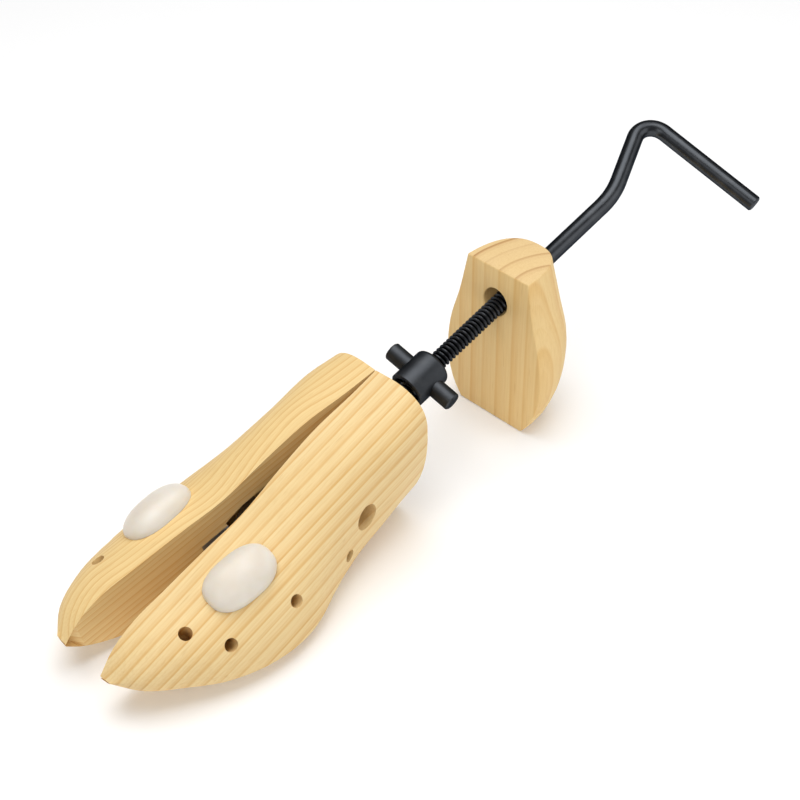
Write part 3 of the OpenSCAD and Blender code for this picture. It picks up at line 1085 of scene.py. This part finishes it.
@dataclass
class Studio:
    """Pale floor, soft light and the photograph's camera."""

    azimuth: float = -45.5
    elevation: float = 39.9
    roll: float = 0.08
    distance: float = 0.6152
    target: Point = (-0.06074, 0.0041, 0.0367)
    lens: float = 67.5
    sensor: float = 36.0
    sky_strength: float = 0.20
    floor_size: float = 8.0
    floor_drop: float = 0.0002
    floor_glow: float = 0.10
    lamps: Sequence[Lamp] = (
        Lamp("top", (-0.02, 0.14, 1.25), 1.25, 15.6),
        Lamp("right", (0.45, -0.60, 0.35), 0.60, 1.6),
        Lamp("toe", (-0.80, -0.42, 0.50), 0.60, 1.9),
    )

    def build(self) -> None:
        """Makes the floor, the lights and the camera."""
        self.floor()
        self.sky()
        for lamp in self.lamps:
            self.light(lamp)
        self.camera()
        settings = bpy.context.scene.view_settings
        settings.view_transform = "Standard"
        settings.exposure = 0.0

    def floor(self) -> None:
        """Makes the floor."""
        bpy.ops.object.select_all(action="DESELECT")
        place = (0.0, 0.0, -self.floor_drop)
        bpy.ops.mesh.primitive_plane_add(size=self.floor_size, location=place)
        floor = bpy.context.active_object
        floor.name = "floor"
        shader = Shader("pale_floor")
        tone = shader.noise(shader.place(), 3.0, 2.0)
        colour = shader.mix(tone * 0.2, (0.93, 0.93, 0.93), (0.90, 0.90, 0.90))
        finish = shader.finish(
            Base_Color=colour,
            Roughness=0.9,
            Specular_IOR_Level=0.1,
            Emission_Color=(1.0, 1.0, 1.0),
            Emission_Strength=self.floor_glow,
        )
        floor.data.materials.append(finish)

    def sky(self) -> None:
        """Makes the even white surround."""
        world = bpy.data.worlds.new("studio")
        world.use_nodes = True
        background = world.node_tree.nodes["Background"]
        background.inputs["Color"].default_value = (1.0, 1.0, 1.0, 1.0)
        background.inputs["Strength"].default_value = self.sky_strength
        bpy.context.scene.world = world

    def light(self, lamp: Lamp) -> None:
        """Hangs a lamp so that it looks at the object.

        Args:
            lamp: the lamp.
        """
        light = bpy.data.lights.new(lamp.name, "AREA")
        light.size = lamp.size
        light.energy = lamp.power
        hung = bpy.data.objects.new(lamp.name, light)
        bpy.context.scene.collection.objects.link(hung)
        hung.location = lamp.place
        aim = Vector(self.target) - Vector(lamp.place)
        hung.rotation_euler = aim.to_track_quat("-Z", "Y").to_euler()

    def camera(self) -> None:
        """Makes the camera at the photograph's viewing angle."""
        lens = bpy.data.cameras.new("camera")
        lens.lens = self.lens
        lens.sensor_width = self.sensor
        lens.clip_start = 0.01
        lens.clip_end = 20.0
        camera = bpy.data.objects.new("camera", lens)
        bpy.context.scene.collection.objects.link(camera)
        azimuth, elevation = math.radians(self.azimuth), math.radians(self.elevation)
        back = Vector(
            (
                math.sin(azimuth) * math.cos(elevation),
                -math.cos(azimuth) * math.cos(elevation),
                math.sin(elevation),
            )
        )
        camera.location = Vector(self.target) + back * self.distance
        turn = (-back).to_track_quat("-Z", "Y").to_matrix().to_4x4()
        roll = Matrix.Rotation(math.radians(self.roll), 4, "Z")
        camera.rotation_euler = (turn @ roll).to_euler()
        bpy.context.scene.camera = camera


def main() -> None:
    """Builds each sub-assembly in order."""
    black = BlackSteel("black_steel").material()
    matte = BlackSteel("matte_black_steel", rough=0.46).material()
    zinc = ZincSteel("zinc_steel").material()
    ivory = IvoryPlastic("ivory_plastic").material()
    near = Pine(
        "pine_near_half",
        pith=(-0.14, 0.098, 0.126),
        grain=(0.963, 0.066, 0.26),
        ring=0.0040,
    )
    far = Pine(
        "pine_far_half",
        pith=(-0.14, 0.090, -0.080),
        grain=(0.965, -0.066, 0.245),
        ring=0.0025,
        early=(0.890, 0.665, 0.320),
        strength=0.85,
        seed=7.3,
    )
    heel = Pine(
        "pine_heel_block",
        pith=(-0.0056, -0.037, 0.0),
        grain=(0.02, 0.02, 1.0),
        ring=0.0074,
        early=(0.890, 0.645, 0.300),
        late=(0.760, 0.430, 0.120),
        warp=0.0007,
        uneven=0.5,
        phase=0.30,
        strength=0.65,
        seed=3.1,
    )
    assemblies = [
        Studio(),
        LastHalf(Side.LEFT, near, zinc),
        LastHalf(Side.RIGHT, far, zinc),
        PressurePlug(Side.LEFT, ivory),
        PressurePlug(Side.RIGHT, ivory),
        HeelBlock(heel),
        Spindle(black),
        LengthNut(matte),
        Spreader(zinc),
    ]
    for assembly in assemblies:
        assembly.build()
        LOG.info("built %s", type(assembly).__name__)


if __name__ == "__main__":
    logging.basicConfig(level=logging.INFO)
    main()
